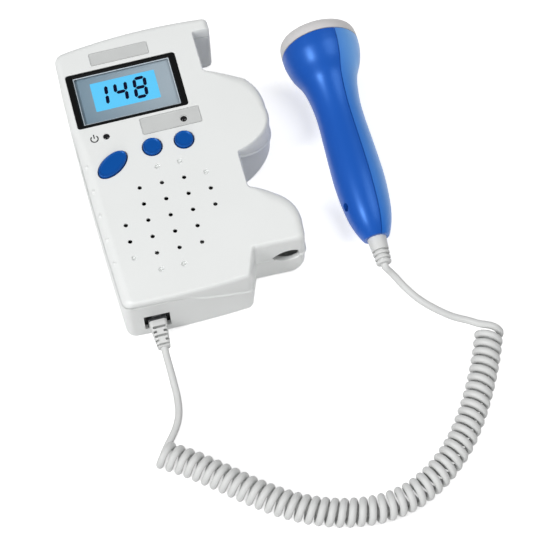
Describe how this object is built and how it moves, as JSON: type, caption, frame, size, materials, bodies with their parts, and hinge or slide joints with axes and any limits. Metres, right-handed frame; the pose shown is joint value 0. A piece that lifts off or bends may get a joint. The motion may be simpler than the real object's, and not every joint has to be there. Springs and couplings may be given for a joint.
{
  "type": "fetal doppler monitor",
  "caption": "Hand-held fetal heart monitor with display, speaker grille and side lobes that hold its ultrasound probe, joined by a curly lead.",
  "frame": {"origin": "middle of the unit's flat back face, which lies on the surface", "axes": "+Z out of the front panel, +Y along the unit towards the display end, +X towards the lobes and the probe that lies beside the unit"},
  "size_m": [0.1672, 0.256, 0.0379],
  "materials": {
    "housing_white": "fine satin moulded ABS",
    "bezel_black": "glossy black printed frame",
    "clear_window": "clear acrylic",
    "display_grey": "display glass and carrier",
    "lamp_smoked": "smoked epoxy lens",
    "key_blue": "satin moulded plastic",
    "probe_blue": "soft satin moulded plastic",
    "face_pale": "satin acoustic lens plastic",
    "cord_grey": "satin flexible vinyl",
    "plug_clear_grey": "moulded plug body",
    "socket_black": "moulded socket insert",
    "screw_steel": "zinc plated",
    "contact_steel": "nickel plated spring steel",
    "cell_jacket": "plastic sleeved can",
    "board_green": "solder resist over laminate",
    "speaker_steel": "pressed basket with paper cone",
    "gasket_foam": "foam ring",
    "crystal_brass": "piezo discs on their backing"
  },
  "bodies": {
    "unit": {"front_shell": "housing_white", "rear_shell": "housing_white", "battery_cells": "cell_jacket", "battery_contacts": "contact_steel", "case_screws": "screw_steel", "lcd_bezel": "bezel_black", "lcd_window": "clear_window", "lcd_module": "display_grey", "power_lamp": "lamp_smoked", "signal_lamp": "lamp_smoked", "main_board": "board_green", "tact_switches": "socket_black", "speaker": "speaker_steel", "speaker_gasket": "gasket_foam", "probe_socket": "socket_black"},
    "door": {"battery_door": "housing_white"},
    "power_key": {"power_button": "key_blue"},
    "volume_down_key": {"volume_down_button": "key_blue"},
    "volume_up_key": {"volume_up_button": "key_blue"},
    "lead": {"lead_plug": "plug_clear_grey", "plug_boot": "cord_grey", "cord_unit_end": "cord_grey", "curly_cord": "cord_grey", "cord_probe_end": "cord_grey", "probe_boot": "cord_grey", "probe_front_shell": "probe_blue", "probe_rear_shell": "probe_blue", "probe_face": "face_pale", "transducer_discs": "crystal_brass", "probe_board": "board_green", "probe_screw": "screw_steel"}
  },
  "joints": [
    {"name": "power_press", "type": "slide", "parent": "unit", "child": "power_key", "axis": [0, 0, -1], "range_m": [0, 0.0008], "stiffness_N_per_m": 700},
    {"name": "volume_down_press", "type": "slide", "parent": "unit", "child": "volume_down_key", "axis": [0, 0, -1], "range_m": [0, 0.0008], "stiffness_N_per_m": 700},
    {"name": "volume_up_press", "type": "slide", "parent": "unit", "child": "volume_up_key", "axis": [0, 0, -1], "range_m": [0, 0.0008], "stiffness_N_per_m": 700},
    {"name": "door_slide", "type": "slide", "parent": "unit", "child": "door", "axis": [0, -1, 0], "range_m": [0, 0.04]},
    {"name": "lead_unplug", "type": "slide", "parent": "unit", "child": "lead", "axis": [0, -1, 0], "range_m": [0, 0.012]}
  ]
}
